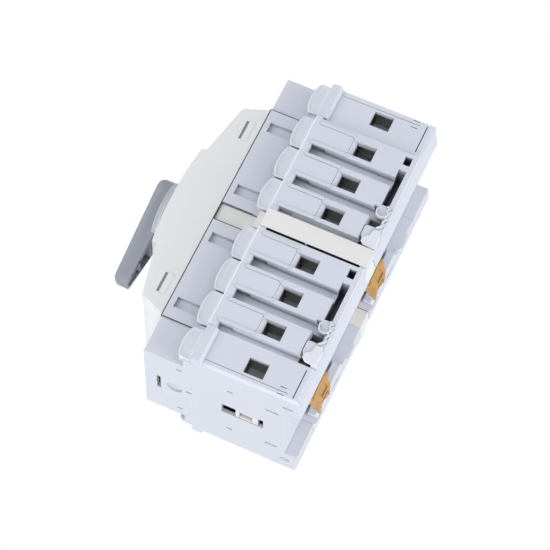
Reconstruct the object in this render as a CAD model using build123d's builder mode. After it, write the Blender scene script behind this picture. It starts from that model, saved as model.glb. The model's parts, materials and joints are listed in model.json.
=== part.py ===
"""Changeover switch for a 35 mm rail: two sets of four poles either side of a spacer, one handle.

x runs across the poles, y from the front to the rail, z up. The rail seat is the plane y = 0.
The left set is closed and the right set open, as when the handle points to the left.
"""
import os
from build123d import *

os.makedirs("parts", exist_ok=True)

# Row of bodies
unit_width = 45.0
pitch = unit_width / 3
inner_x = 4.0
outer_x = inner_x + unit_width
pole4_width = 15.5
pole4_x = outer_x + pole4_width / 2 + 0.75
end_x = outer_x + pole4_width
seam = 0.05
spacer_left = 0.05 - inner_x
spacer_right = inner_x - 0.3
relief = 0.8
side_sign = {"left": -1, "right": 1}
unit_start = {"left": -outer_x, "right": inner_x}

# Rail recess: half height, and the feet above and below it
seat_half = 17.7
foot_y = 5.6
rear_y = 4.5
hook_y = 1.4
hook_reach = 1.8

# Outer faces, worked out from the recess up to the terminal face
face_z = seat_half + 14.3
strip_z = face_z + 1.0
pole4_z = face_z - 1.7
lip_z = face_z - 3.7
lip_thick = 2.1
nose_z = 22.5
pole4_nose_z = 21.9
cover_z = 22.3
nose_front = -57.7
flange_front = -41.7
base_front = -38.7
nose_wall = 2.4

# Cells and terminals
cell_half = pitch / 2 - 1.2
cell_floor = -9.8
cell_z = 18.45
cell_mouth_z = 21.5
shelf_y = -19.55
chamber_half = 4.2
chamber_z = face_z - 3.3
screw_z = 25.0
head_radius = 2.3
shank_radius = 1.9
screw_fit = 0.1
cage_half = 4.1
cage_wall = 0.75
cage_z = (22.0, chamber_z - 0.2)
wire_half = 3.3
wire_y = (-19.85, -11.95)
block_edges = (-5.0, 5.6)

# Contact travel and the cam that drives it
travel = 5.5
cam_radius = 8.0
track_half = 1.6
track_depth = 2.6
pin_radius = 1.45
pin_near = -62.2
shaft_radius = 4.0
stub_radius = 2.0
run_fit = 0.06
bar_z = 3.1
bar_y = (-20.5, -11.4)
window_y = (-18.6, -12.2)
bar_slot_z = 3.4
rod_x = (13.0, 19.0)
arm_x = cam_radius + 1.5

# Handle
lever_reach = 34.0
lever_tip = 3.3
lever_end = 11.5
lever_far = 10.2
lever_wall = 1.1
handle_front = -87.3
handle_rear = -78.7
dial_radius = 13.5
dial_front = -80.7
dial_rear = -76.75
plateau_y = -76.4
cover_gap = 0.3

# Rail clip, measured from the middle of its pole
clip_half = 5.5
clip_fit = 0.1
clip_stop_z = 5.3
clip_end_z = face_z - 7.2


def block(x, y, z, mode=Mode.ADD):
    """Box given by its three extents, added to or cut from the current part."""
    with Locations(((x[0] + x[1]) / 2, (y[0] + y[1]) / 2, (z[0] + z[1]) / 2)):
        Box(abs(x[1] - x[0]), abs(y[1] - y[0]), abs(z[1] - z[0]), mode=mode)


def round_bar(x, z, radius, y, mode=Mode.ADD):
    """Cylinder along y."""
    with Locations(Location((x, (y[0] + y[1]) / 2, z), (90, 0, 0))):
        Cylinder(radius, abs(y[1] - y[0]), mode=mode)


def prism(points, x, mode=Mode.ADD):
    """Profile of (y, z) points run across x."""
    with BuildSketch(Plane.YZ.offset(min(x))) as profile:
        with BuildLine():
            Polyline(points, close=True)
        make_face()
    extrude(profile.sketch, amount=abs(x[1] - x[0]), mode=mode)


def rounded_ear(x, y, z, radius):
    """Plate with its two front corners rounded."""
    with BuildSketch(Plane.XY.offset(z[0])) as plan:
        with Locations(((x[0] + x[1]) / 2, (y[0] + y[1]) / 2)):
            Rectangle(x[1] - x[0], y[1] - y[0])
        fillet(plan.vertices().sort_by(Axis.Y)[:2], radius)
    extrude(plan.sketch, amount=z[1] - z[0])


def visor(middle, half, sign):
    """Arched visor over a terminal screw: straight sides, bowed front, rounded corners."""
    with BuildSketch(Plane.XY.offset(lip_z - lip_thick if sign > 0 else -lip_z)) as plan:
        with BuildLine():
            Polyline([(middle - half, -43.5), (middle - half, base_front),
                      (middle + half, base_front), (middle + half, -43.5)])
            ThreePointArc((middle - half, -43.5), (middle, -45.0), (middle + half, -43.5))
        make_face()
        fillet(plan.vertices().sort_by(Axis.Y)[:2], 0.8)
    extrude(plan.sketch, amount=lip_thick)


def up_down(points, sign):
    """The same profile for the upper (+1) or lower (-1) side."""
    return [(y, sign * z) for y, z in points]


def both(a, b, sign):
    """Extent from a to b on the side that the sign gives."""
    return tuple(sorted((sign * a, sign * b)))


def about(middle, half):
    return (middle - half, middle + half)


def poles(side):
    """Middles of the three poles of a unit."""
    return [unit_start[side] + pitch * (n + 0.5) for n in range(3)]


def all_poles(side):
    return poles(side) + [side_sign[side] * pole4_x]


def terminal_chamber(middle, wire):
    """At each end of a pole: chamber, screw hole in its front wall, wire entry with a sloped front."""
    for s in (-1, 1):
        block(about(middle, chamber_half), (-37.0, cell_floor), both(cell_mouth_z, chamber_z, s), Mode.SUBTRACT)
        round_bar(middle, s * screw_z, head_radius + screw_fit, (base_front, -37.0), Mode.SUBTRACT)
        block(about(middle, wire_half), wire, both(chamber_z, face_z + 1, s), Mode.SUBTRACT)
        lead_in = [(wire[0] - 1.55, face_z), (wire[0] + 0.01, face_z), (wire[0] + 0.01, face_z - 1.6)]
        prism(up_down(lead_in, s), about(middle, wire_half), Mode.SUBTRACT)


# Outlines in (y, z), from the lower front corner round by the rear
lower_rear = [(rear_y, -seat_half - 7.3), (foot_y, -seat_half - 2.3), (foot_y, -seat_half)]
lower_rear += [(0.0, -seat_half), (0.0, seat_half)]
upper_foot = [(5.0, seat_half), (foot_y + 0.1, seat_half + 6.3), (rear_y, seat_half + 12.8)]
base_outline = [(base_front, -face_z), (rear_y, -face_z)] + lower_rear + upper_foot
base_outline += [(rear_y, face_z), (base_front, face_z)]
pole4_half = [(rear_y, pole4_z - 0.3), (3.0, pole4_z + 0.3), (-34.2, pole4_z), (-35.3, pole4_z + 2.0)]
pole4_half += [(base_front, pole4_z + 1.3)]
pole4_outline = up_down(pole4_half[::-1], -1) + lower_rear + upper_foot[:2] + pole4_half
hook_outline = [(0.5, seat_half + 0.1), (hook_y, seat_half + 0.1), (hook_y, seat_half - hook_reach)]
hook_outline += [(4.4, seat_half - hook_reach), (5.5, seat_half - 0.4), (5.5, seat_half + 3.0), (0.5, seat_half + 3.0)]

for side, start in unit_start.items():
    sign = side_sign[side]
    clip_x = poles(side)[0]

    # Three-pole base: cells, terminal chambers, partitions notched for the contact carriage
    with BuildPart() as base:
        prism(base_outline, (start + seam, start + unit_width - seam))
        prism(hook_outline, (clip_x - 4.5, clip_x + pitch + 4.5))
        for middle in poles(side):
            block(about(middle, cell_half), (base_front, shelf_y), about(0, cell_mouth_z), Mode.SUBTRACT)
            block(about(middle, cell_half), (shelf_y, cell_floor), about(0, cell_z), Mode.SUBTRACT)
            terminal_chamber(middle, wire_y)
            for s in (-1, 1):
                # Trough beside the pole's block, undercut at its front end, and the ribs along the block's edges
                trough = (max(middle - pitch + block_edges[1], start), middle + block_edges[0])
                block(trough, (-35.4, 2.05), both(face_z - 4.0, face_z, s), Mode.SUBTRACT)
                block((trough[1] - 1.0, trough[1] + 0.6), (-35.4, -30.0), both(face_z - 4.0, face_z - 0.9, s), Mode.SUBTRACT)
                for rib in ((block_edges[0], block_edges[0] + 1.4), (block_edges[1] - 1.4, block_edges[1])):
                    block((middle + rib[0], middle + rib[1]), (-36.2, -21.4), both(face_z, face_z + 0.3, s))
        block(both(poles(side)[2 if sign < 0 else 0] * sign, outer_x, sign), (base_front, -10.6), about(0, bar_slot_z),
              Mode.SUBTRACT)
        last = poles(side)[2]
        for s in (-1, 1):
            block((clip_x + pitch - 4.3, last - 1.3), (-1.0, 2.1), both(face_z - 11.0, face_z, s), Mode.SUBTRACT)
            block((last + 1.2, last + 5.1), (-0.75, 2.1), both(face_z - 11.0, face_z, s), Mode.SUBTRACT)
            block((start + unit_width - relief, start + unit_width), (-36.0, 2.1), both(face_z - 6.0, face_z, s), Mode.SUBTRACT)
            slope = [(-3.4, face_z), (-2.2, face_z - 4.0), (2.1, face_z - 4.0), (2.1, face_z)]
            prism(up_down(slope, s), (clip_x - 5.8, clip_x + pitch - 4.2), Mode.SUBTRACT)
        # Undercut track for the rail clip, and the room for its hook in the lower foot
        wide = clip_half + clip_fit
        block(about(clip_x, wide), (-3.2, -0.35), (-face_z + 2.9, clip_stop_z), Mode.SUBTRACT)
        block(about(clip_x, 4.3), (-0.4, 0.0), (-seat_half, clip_stop_z), Mode.SUBTRACT)
        block(about(clip_x, clip_half + 0.9), (-3.2, 4.0), (-face_z + 2.9, -seat_half), Mode.SUBTRACT)
        rounded_ear((clip_x - 4.0, clip_x + 1.7), (-3.0, 2.3), (-face_z, -face_z + 2.6), 1.2)
        rounded_ear((clip_x + 6.7, clip_x + 11.8), (-1.7, 2.3), (-face_z, -face_z + 2.6), 1.2)
        # One housing for each pole
        for n in (1, 2):
            split(bisect_by=Plane.YZ.offset(start + n * pitch), keep=Keep.BOTH)
    base.part.label = f"base_{side}"
    export_step(base.part, f"parts/base_{side}.step")

    # Front moulding: hollow nose, flange over the terminals, a visor by each screw, latches for the cover
    with BuildPart() as front:
        span = (start + seam, start + unit_width - seam)
        block(span, (nose_front, flange_front), about(0, nose_z))
        block(span, (flange_front, base_front), about(0, lip_z - lip_thick))
        for middle in poles(side):
            for s in (-1, 1):
                visor(middle, pitch / 2 - 0.35, s)
        inside = (span[0] + 2.0, span[1] - 2.0)
        block(inside, (nose_front + 1.6, base_front), about(0, nose_z - nose_wall), Mode.SUBTRACT)
        block(both(arm_x - 0.5, rod_x[1] + 0.5, sign), (nose_front, nose_front + 1.6), about(0, 3.5), Mode.SUBTRACT)
        for s in (-1, 1):
            for middle in poles(side):
                round_bar(middle, s * screw_z, head_radius + screw_fit, (-46.0, base_front), Mode.SUBTRACT)
            for window in (poles(side)[0] - 2.45, poles(side)[2] - 2.3):
                block((window, window + 4.5), (-55.5, flange_front), both(nose_z - 1.6, nose_z, s), Mode.SUBTRACT)
            latch = both(outer_x - 16.7, outer_x - 8.8, sign)
            block(latch, (-64.5, nose_front), both(cover_z - 3.3, cover_z - 1.85, s))
            block(latch, (-64.1, -63.1), both(cover_z - 1.85, cover_z - 0.5, s))
    front.part.label = f"front_{side}"
    export_step(front.part, f"parts/front_{side}.step")

    # Single-pole base added at the outer end, with the marks of its snap hooks on the end face
    middle = sign * pole4_x
    outer_wall = both(end_x - 1.6, end_x, sign)
    with BuildPart() as pole4_base:
        span = both(outer_x + seam, end_x - seam, sign)
        prism(pole4_outline, span)
        shoulder = pole4_base.edges().filter_by(
            lambda e: abs(e.center().X) > end_x - 0.2 and abs(abs(e.center().Z) - pole4_z) < 0.4 and e.length > 20)
        chamfer(shoulder, 1.0)
        cell = both(outer_x + 2.2, end_x - 1.6, sign)
        block(cell, (base_front, shelf_y), about(0, cell_mouth_z), Mode.SUBTRACT)
        block(cell, (shelf_y, cell_floor), about(0, cell_z), Mode.SUBTRACT)
        terminal_chamber(middle, (wire_y[0] + 0.4, wire_y[1] + 0.4))
        block(both(outer_x, outer_x + 7.0, sign), (base_front, -10.6), about(0, bar_slot_z), Mode.SUBTRACT)
        block(outer_wall, (-26.2, -9.1), about(0, bar_slot_z), Mode.SUBTRACT)
        skin = both(end_x - 0.5, end_x, sign)
        for s in (-1, 1):
            for mark in ((-24.1, -21.8, 16.0, 17.0), (-8.2, -3.3, 14.2, 15.4), (-1.8, 2.1, 22.6, 23.6)):
                block(skin, (mark[0], mark[1]), both(mark[2], mark[3], s), Mode.SUBTRACT)
            # Step along the hole, seam at the rear and two short slits in the terminal face
            block(both(pole4_x + 4.3, pole4_x + 4.5, sign), (-34.0, -1.0), both(pole4_z - 0.3, pole4_z + 1, s), Mode.SUBTRACT)
            for slit in (2.6, 5.6):
                block(both(pole4_x + slit, pole4_x + slit + 0.3, sign), (-4.6, -2.0), both(pole4_z - 0.8, face_z, s), Mode.SUBTRACT)
            block(both(outer_x + 1.5, end_x - 1.6, sign), (1.2, 1.6), both(pole4_z - 0.8, face_z, s), Mode.SUBTRACT)
    pole4_base.part.label = f"pole4_base_{side}"
    export_step(pole4_base.part, f"parts/pole4_base_{side}.step")

    # Its front moulding
    with BuildPart() as pole4_front:
        block(span, (nose_front, flange_front), about(0, pole4_nose_z))
        block(span, (flange_front, base_front), about(0, lip_z - 0.7))
        for s in (-1, 1):
            visor(middle, pole4_width / 2 - 1.0, s)
        block((span[0] + 2.0, span[1] - 2.0), (nose_front + 1.6, base_front), about(0, 19.6), Mode.SUBTRACT)
        for s in (-1, 1):
            round_bar(middle, s * screw_z, head_radius + screw_fit, (-46.0, base_front), Mode.SUBTRACT)
            block(skin, (-44.6, -42.4), both(16.4, 17.4, s), Mode.SUBTRACT)
        with Locations((sign * (end_x - seam), -45.7, 0.3)):
            Cylinder(3.3, 1.6, rotation=(0, 90, 0), mode=Mode.SUBTRACT)
        block(both(end_x - 3.0, end_x, sign), (-52.9, -51.3), (-4.5, 5.2), Mode.SUBTRACT)
        block(outer_wall, (-40.8, base_front), (-1.0, 0.0), Mode.SUBTRACT)
    pole4_front.part.label = f"pole4_front_{side}"
    export_step(pole4_front.part, f"parts/pole4_front_{side}.step")

    # Terminal screws, one at each end of every pole
    with BuildPart() as screws:
        for middle in all_poles(side):
            for s in (-1, 1):
                with BuildSketch(Plane.XZ.offset(38.9)):
                    with Locations((middle, s * screw_z)):
                        RegularPolygon(head_radius, 12)
                extrude(amount=-1.95)
                with BuildSketch(Plane.XZ.offset(36.95)):
                    with Locations((middle, s * screw_z)):
                        RegularPolygon(shank_radius, 6)
                extrude(amount=-15.75)
    screws.part.label = f"terminal_screws_{side}"
    export_step(screws.part, f"parts/terminal_screws_{side}.step")

    # Clamp cages drawn forward by the screws
    with BuildPart() as cages:
        for middle in all_poles(side):
            for s in (-1, 1):
                block(about(middle, cage_half), (-22.6, -10.6), both(*cage_z, s))
                block(about(middle, cage_half - cage_wall), (-21.1, -11.8), both(*cage_z, s), Mode.SUBTRACT)
                with BuildSketch(Plane.XZ.offset(22.6)):
                    with Locations((middle, s * screw_z)):
                        RegularPolygon(shank_radius + 0.08, 6)
                extrude(amount=-1.5, mode=Mode.SUBTRACT)
    cages.part.label = f"clamp_cages_{side}"
    export_step(cages.part, f"parts/clamp_cages_{side}.step")

    # Fixed contacts: from inside the cage over the shelf to the pad on the cell floor
    strip = [(-20.6, chamber_z - 0.4), (-19.6, chamber_z - 0.4), (-19.6, cell_z), (-9.85, cell_z), (-9.85, 6.5), (-11.1, 6.5)]
    strip += [(-11.1, 9.5), (-10.85, 9.5), (-10.85, cell_z - 1.0), (-20.6, cell_z - 1.0)]
    with BuildPart() as fixed:
        for middle in all_poles(side):
            for s in (-1, 1):
                prism(up_down(strip, s), about(middle, 2.9))
    fixed.part.label = f"fixed_contacts_{side}"
    export_step(fixed.part, f"parts/fixed_contacts_{side}.step")

    # Contact carriage: bar through the cells, rod to the front, arm with the cam pin
    shift = 0.0 if side == "left" else -travel
    with BuildPart() as carriage:
        block(both(inner_x + 2.0, end_x - 0.3, sign), (bar_y[0] + shift, bar_y[1] + shift), about(0, bar_z))
        for middle in all_poles(side):
            block(about(middle, 3.4), (window_y[0] + shift, window_y[1] + shift), about(0, bar_z), Mode.SUBTRACT)
        block(both(end_x - 1.8, end_x - 0.3, sign), (-19.1 + shift, -13.65 + shift), about(0, 2.4), Mode.SUBTRACT)
        block(both(*rod_x, sign), (-60.0 + shift, bar_y[0] + shift), about(0, 3.0))
        block(both(arm_x, rod_x[1], sign), (-65.5 + shift, -59.0 + shift), about(0, 3.0))
        with Locations((sign * (cam_radius - track_depth + 3.2), pin_near + shift, 0)):
            Cylinder(pin_radius, 6.0, rotation=(0, 90, 0))
    carriage.part.label = f"carriage_{side}"
    export_step(carriage.part, f"parts/carriage_{side}.step")

    # Moving bridges, one in each window of the carriage
    with BuildPart() as bridges:
        for middle in all_poles(side):
            block(about(middle, 3.0), (-13.8 + shift, -12.3 + shift), about(0, 10.0))
            for s in (-1, 1):
                block(about(middle, 2.5), (-12.3 + shift, -11.2 + shift), both(7.0, 9.6, s))
    bridges.part.label = f"bridge_contacts_{side}"
    export_step(bridges.part, f"parts/bridge_contacts_{side}.step")

    # Bow springs that press the bridges on the pads
    bow = [(-13.85, 6.0), (-16.0, 4.6), (-17.9, 2.4), (-18.5, 0.8), (-18.5, -0.8), (-17.9, -2.4), (-16.0, -4.6), (-13.85, -6.0)]
    bow += [(-13.85, -5.5), (-15.75, -4.3), (-17.6, -2.2), (-18.15, -0.7), (-18.15, 0.7), (-17.6, 2.2), (-15.75, 4.3), (-13.85, 5.5)]
    with BuildPart() as springs:
        for middle in all_poles(side):
            prism([(y + shift, z) for y, z in bow], about(middle, 2.4))
    springs.part.label = f"contact_springs_{side}"
    export_step(springs.part, f"parts/contact_springs_{side}.step")

    # Sliding rail clip: bar in the track, hook under the rail, head with two legs in the rail's hollow
    with BuildPart() as clip:
        block(about(clip_x, clip_half), (-3.0, -0.45), (-clip_end_z, 5.0))
        block(about(clip_x, 4.2), (-0.45, 0.3), (-seat_half - 2.5, 5.0))
        block(about(clip_x, clip_half), (-0.45, 3.6), (-seat_half - 2.5, -seat_half - 0.3))
        block(about(clip_x, clip_half), (1.5, 3.6), (-seat_half - 2.5, -seat_half + 2.1))
        rounded_ear(about(clip_x, 6.3), (0.3, 2.9), (-1.2, 0.8), 0.8)
        block(about(clip_x, 6.3), (2.0, 3.9), (-1.2, 0.8))
        block(about(clip_x, 4.6), (3.0, 3.9), (-1.2, 0.8), Mode.SUBTRACT)
        prism([(0.3, -1.2), (3.0, -1.2), (4.6, 0.8), (6.2, 3.0), (6.2, 8.0), (0.3, 8.0)], about(clip_x, 4.6))
        block(about(clip_x, 2.6), (4.4, 6.2), (3.4, 6.8), Mode.SUBTRACT)
        for s in (-1, 1):
            block((clip_x + s * 2.0, clip_x + s * 3.8), (3.2, 6.0), (8.0, 12.2))
        block(about(clip_x, 2.5), (-3.0, -0.45), (-clip_end_z + 0.8, -clip_end_z + 2.6), Mode.SUBTRACT)
    clip.part.label = f"rail_clip_{side}"
    export_step(clip.part, f"parts/rail_clip_{side}.step")

# Spacer between the two sets, with the cam's rear bearing
spacer_half = [(4.8, face_z - 2.0), (4.8, strip_z), (-38.6, strip_z), (-38.6, lip_z), (flange_front, lip_z)]
spacer_half += [(flange_front, nose_z - 1.0), (nose_front, nose_z - 1.0)]
spacer_outline = up_down(spacer_half[::-1], -1)[:-1] + lower_rear + upper_foot[:2] + spacer_half
with BuildPart() as spacer:
    prism(spacer_outline, (spacer_left, spacer_right))
    round_bar(0, 0, stub_radius + run_fit, (nose_front, -50.0), Mode.SUBTRACT)
spacer.part.label = "spacer"
export_step(spacer.part, "parts/spacer.step")

# Cover: sloped ends, raised plateau round the handle
cover_side = [(0.0, nose_front - cover_gap), (-2.9, -64.8), (-3.7, -67.4), (-5.2, -68.4), (-26.8, -73.0), (-27.2, plateau_y + 1.5)]
cover_inside = [(-2.0, nose_front - cover_gap), (-4.7, -64.4), (-5.4, -66.7), (-28.3, -71.5), (-28.7, plateau_y + 3.2)]
with BuildPart() as cover:
    with BuildSketch(Plane.XY.offset(-cover_z)):
        with BuildLine():
            right = Polyline([(outer_x + x, y) for x, y in cover_side])
            left = Polyline([(-outer_x - x, y) for x, y in cover_side])
            ThreePointArc(right @ 1, (0, plateau_y), left @ 1)
            Line(right @ 0, left @ 0)
        make_face()
    extrude(amount=2 * cover_z)
    with BuildSketch(Plane.XY.offset(1.8 - cover_z)):
        with BuildLine():
            right = Polyline([(outer_x + x, y) for x, y in cover_inside])
            left = Polyline([(-outer_x - x, y) for x, y in cover_inside])
            ThreePointArc(right @ 1, (0, plateau_y + 1.8), left @ 1)
            Line(right @ 0, left @ 0)
        make_face()
    extrude(amount=2 * cover_z - 3.6, mode=Mode.SUBTRACT)
    rims = cover.edges().filter_by(lambda e: abs(abs(e.center().Z) - cover_z) < 0.01 and e.center().Y < nose_front - 0.5)
    chamfer(rims.filter_by(lambda e: abs(e.center().X) > outer_x - 26.5 or abs(e.center().X) < 1), 0.6)
    round_bar(0, 0, shaft_radius + run_fit, (plateau_y - 2, plateau_y + 3), Mode.SUBTRACT)
    for sign in (-1, 1):
        for s in (-1, 1):
            block(both(outer_x - 17.0, outer_x - 8.4, sign), (-64.2, -63.0), both(cover_z - 2.3, cover_z + 1, s), Mode.SUBTRACT)
            for edge in (-16.8, -8.9):
                block(both(outer_x + edge, outer_x + edge + 0.3, sign), (-63.1, nose_front), both(cover_z - 0.4, cover_z + 1, s), Mode.SUBTRACT)
cover.part.label = "cover"
export_step(cover.part, "parts/cover.step")

# Half of the cam's closed track, half a turn of helix, set to run from the near point round below to the far point
with BuildPart() as half_turn:
    with BuildLine() as path:
        Helix(pitch=2 * travel, height=travel, radius=cam_radius)
    with BuildSketch(Plane(origin=path.line @ 0, x_dir=(1, 0, 0), z_dir=path.line % 0)):
        Rectangle(2 * track_depth, 2 * track_half)
    sweep(is_frenet=True)
half_track = Plane(origin=(0, pin_near, 0), x_dir=(-1, 0, 0), z_dir=(0, -1, 0)) * half_turn.part

# Cam drum with its shaft: a pin on either side runs in the track, so the two sets move oppositely
with BuildPart() as cam_drum:
    round_bar(0, 0, cam_radius, (-72.3, -58.6))
    with Locations((-cam_radius, pin_near, 0), (cam_radius, pin_near - travel, 0)):
        Cylinder(track_half + 0.05, 2 * track_depth, rotation=(0, 90, 0), mode=Mode.SUBTRACT)
    add(half_track, mode=Mode.SUBTRACT)
    add(mirror(half_track, about=Plane.XY, mode=Mode.PRIVATE), mode=Mode.SUBTRACT)
    round_bar(0, 0, stub_radius, (-58.6, -51.0))
    round_bar(0, 0, shaft_radius, (-84.4, -72.3))
    block(about(0, shaft_radius), (-84.4, -78.0), (3.0, shaft_radius), Mode.SUBTRACT)
cam_drum.part.label = "cam_drum"
export_step(cam_drum.part, "parts/cam_drum.step")

# Dial ring under the handle
with BuildPart() as dial_ring:
    round_bar(0, 0, dial_radius, (dial_front, dial_rear))
    round_bar(0, 0, shaft_radius + 0.2, (dial_front, dial_rear), Mode.SUBTRACT)
dial_ring.part.label = "dial_ring"
export_step(dial_ring.part, "parts/dial_ring.step")


def lever_plan(inset):
    """Outline of the handle seen from the front: a wedge that widens from its tip past the shaft."""
    far = lever_end - inset
    tip = inset - lever_reach
    return [(far, lever_far - inset), (tip, lever_tip - inset), (tip, inset - lever_tip), (far, inset - lever_far)]


# Handle: a wedge hollowed from behind, with a rib down its middle and one across
with BuildPart() as handle:
    with BuildSketch(Plane.XZ.offset(-handle_rear)) as plan:
        with BuildLine():
            Polyline(lever_plan(0), close=True)
        make_face()
        fillet(plan.vertices().sort_by(Axis.X)[:2], 1.8)
        fillet(plan.vertices().sort_by(Axis.X)[-2:], 4.0)
    extrude(amount=handle_rear - handle_front)
    with BuildSketch(Plane.XY.offset(-20.0)):
        with BuildLine():
            Polyline([(lever_end + 1, handle_front), (-lever_reach - 1, handle_front + 0.8), (-lever_reach - 1, handle_front - 2),
                      (lever_end + 1, handle_front - 2)], close=True)
        make_face()
        with BuildLine():
            Polyline([(-lever_reach - 1, handle_rear - 1.5), (-dial_radius - 2, handle_rear), (-lever_reach - 1, handle_rear + 1)], close=True)
        make_face()
    extrude(amount=40.0, mode=Mode.SUBTRACT)
    chamfer(handle.faces().sort_by(Axis.Y)[0].edges(), 1.4)
    with BuildSketch(Plane.XZ.offset(-handle_rear)):
        with BuildLine():
            Polyline(lever_plan(lever_wall), close=True)
        make_face()
        for rib in ((-24.0, 0.9, 20.0), (-24.0, 20.0, 0.9)):
            with Locations((rib[0], 0)):
                Rectangle(rib[1], rib[2], mode=Mode.SUBTRACT)
        with Locations((lever_end - 12.0, 0)):
            Rectangle(32.0, 30.0, mode=Mode.SUBTRACT)
    extrude(amount=handle_rear - handle_front - 2.6, mode=Mode.SUBTRACT)
    round_bar(0, 0, dial_radius, (dial_front, handle_rear), Mode.SUBTRACT)
    round_bar(0, 0, shaft_radius + 0.05, (-84.5, dial_front), Mode.SUBTRACT)
    block((-2.6, 2.6), (-84.5, dial_front), (3.05, 5.0))
handle.part.label = "handle"
export_step(handle.part, "parts/handle.step")
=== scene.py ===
"""Looks for the rail-mounted changeover switch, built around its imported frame.

Blender works in metres. The sizes below are in millimetres, and MM turns them to metres where a mesh or
node takes them.
"""

import json
import math

import bmesh
import bpy
from mathutils import Matrix, Vector


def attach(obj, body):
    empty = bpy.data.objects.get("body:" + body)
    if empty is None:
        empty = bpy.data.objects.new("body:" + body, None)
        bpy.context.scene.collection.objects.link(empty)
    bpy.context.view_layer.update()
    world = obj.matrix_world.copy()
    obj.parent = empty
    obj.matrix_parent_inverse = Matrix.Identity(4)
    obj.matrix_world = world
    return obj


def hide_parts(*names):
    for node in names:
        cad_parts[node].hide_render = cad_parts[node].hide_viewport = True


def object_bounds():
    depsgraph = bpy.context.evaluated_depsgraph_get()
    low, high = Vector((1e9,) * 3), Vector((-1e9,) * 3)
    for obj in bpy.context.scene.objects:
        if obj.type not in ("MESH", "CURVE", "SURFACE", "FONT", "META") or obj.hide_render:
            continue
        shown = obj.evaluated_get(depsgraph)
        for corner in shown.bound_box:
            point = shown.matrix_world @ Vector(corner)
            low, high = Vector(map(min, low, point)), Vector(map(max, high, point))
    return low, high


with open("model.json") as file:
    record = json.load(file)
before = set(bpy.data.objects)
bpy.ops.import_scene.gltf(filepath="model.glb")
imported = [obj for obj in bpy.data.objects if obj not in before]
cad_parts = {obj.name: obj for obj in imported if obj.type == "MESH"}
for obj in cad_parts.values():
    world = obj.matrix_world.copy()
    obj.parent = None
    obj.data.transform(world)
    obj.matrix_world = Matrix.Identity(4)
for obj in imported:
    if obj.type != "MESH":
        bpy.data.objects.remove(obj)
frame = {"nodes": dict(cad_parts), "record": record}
cad_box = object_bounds()
scene = bpy.context.scene
MM = 0.001

# Moulded plastic: noise scales are per metre, reaches in millimetres, tones as shares of the base colour
CLOUD_SCALE = 38.0
FLOW_STRETCH = (30.0, 300.0, 60.0)
PIT_SCALE = 5200.0
PIT_DEPTH = 0.12
# Painted highlight: edges, where the rounded normal turns away from the face, are lightened
HIGHLIGHT_TURN = (0.01, 0.16)
HIGHLIGHT_SHARE = (0.0, 0.8)
HIGHLIGHT_TONE = 1.34
# Painted shade: corners and seams within reach of other surfaces are darkened
CORNER_SHADE_REACH = 0.9
CORNER_SHADE_TONE = 0.12
# Painted shade: deep wells in the same object are darkened nearly to black
WELL_SHADE_REACH = 9.0
WELL_SHADE_OPENNESS = (0.10, 0.34)
WELL_SHADE_TONE = 0.03

# Plated metal
PATCH_SCALE = 220.0
DRAWN_STRETCH = (9000.0, 500.0, 500.0)
DRAWN_STRENGTH = 0.12
DRAWN_DEPTH = 0.1
PLATED_EDGE = 0.12
PLATED_ROUGHNESS = 0.27

# Ink and narrow dark joints
MOTTLE_SCALE = 600.0
FLAT_ROUGHNESS = 0.55


class Value:
    """A socket that takes part in Python arithmetic by adding Math nodes."""

    def __init__(self, shade, socket):
        self.shade = shade
        self.socket = socket

    def _math(self, operation, first, second):
        return self.shade.node("ShaderNodeMath", {"operation": operation}, {0: first, 1: second})

    def __add__(self, other):
        return self._math("ADD", self, other)

    __radd__ = __add__

    def __sub__(self, other):
        return self._math("SUBTRACT", self, other)

    def __rsub__(self, other):
        return self._math("SUBTRACT", other, self)

    def __mul__(self, other):
        return self._math("MULTIPLY", self, other)

    __rmul__ = __mul__


class Shade:
    """The node tree of one material or world."""

    def __init__(self, owner):
        owner.use_nodes = True
        self.owner = owner
        self.tree = owner.node_tree
        self.tree.nodes.clear()

    def node(self, kind, settings=None, inputs=None, output=0):
        """Add a node: its settings first, then the values or links of its sockets."""
        made = self.tree.nodes.new(kind)
        for key, setting in (settings or {}).items():
            setattr(made, key, setting)
        for key, entry in (inputs or {}).items():
            if isinstance(entry, Value):
                self.tree.links.new(entry.socket, made.inputs[key])
            else:
                made.inputs[key].default_value = entry
        return Value(self, made.outputs[output])

    def finish(self, shader, kind="ShaderNodeOutputMaterial"):
        """Link the shader to the tree's output and hand back the material or world."""
        made = self.tree.nodes.new(kind)
        self.tree.links.new(shader.socket, made.inputs["Surface"])
        return self.owner

    def noise(self, scale, detail, roughness=0.5, stretch=None):
        """Noise in Object coordinates, which are stretched first where a stretch is given."""
        place = self.node("ShaderNodeTexCoord", output="Object")
        if stretch:
            place = self.node("ShaderNodeMapping", None, {"Vector": place, "Scale": stretch})
        return self.node("ShaderNodeTexNoise", None,
                         {"Vector": place, "Scale": scale, "Detail": detail, "Roughness": roughness})

    def mix(self, factor, first, second):
        """Blend of two colours."""
        return self.node("ShaderNodeMix", {"data_type": "RGBA"}, {0: factor, 6: first, 7: second}, output=2)

    def graded(self, value, source, target):
        """The value, moved from the source range to the target range and held at its ends."""
        return self.node("ShaderNodeMapRange", None,
                         {"Value": value, "From Min": source[0], "From Max": source[1],
                          "To Min": target[0], "To Max": target[1]})

    def openness(self, reach, samples, own_only=False):
        """1 on open surfaces, falling where others, or only the same object's, stand within reach."""
        return self.node("ShaderNodeAmbientOcclusion", {"samples": samples, "only_local": own_only},
                         {"Distance": reach * MM}, output="AO")

    def soft_normal(self, radius):
        """Normal that turns smoothly over the edges."""
        return self.node("ShaderNodeBevel", {"samples": 4}, {"Radius": radius * MM})

    def bump(self, strength, depth, height, normal):
        return self.node("ShaderNodeBump", None,
                         {"Strength": strength, "Distance": depth * MM, "Height": height, "Normal": normal})

    def surface(self, inputs):
        return self.node("ShaderNodeBsdfPrincipled", None, inputs)


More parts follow.
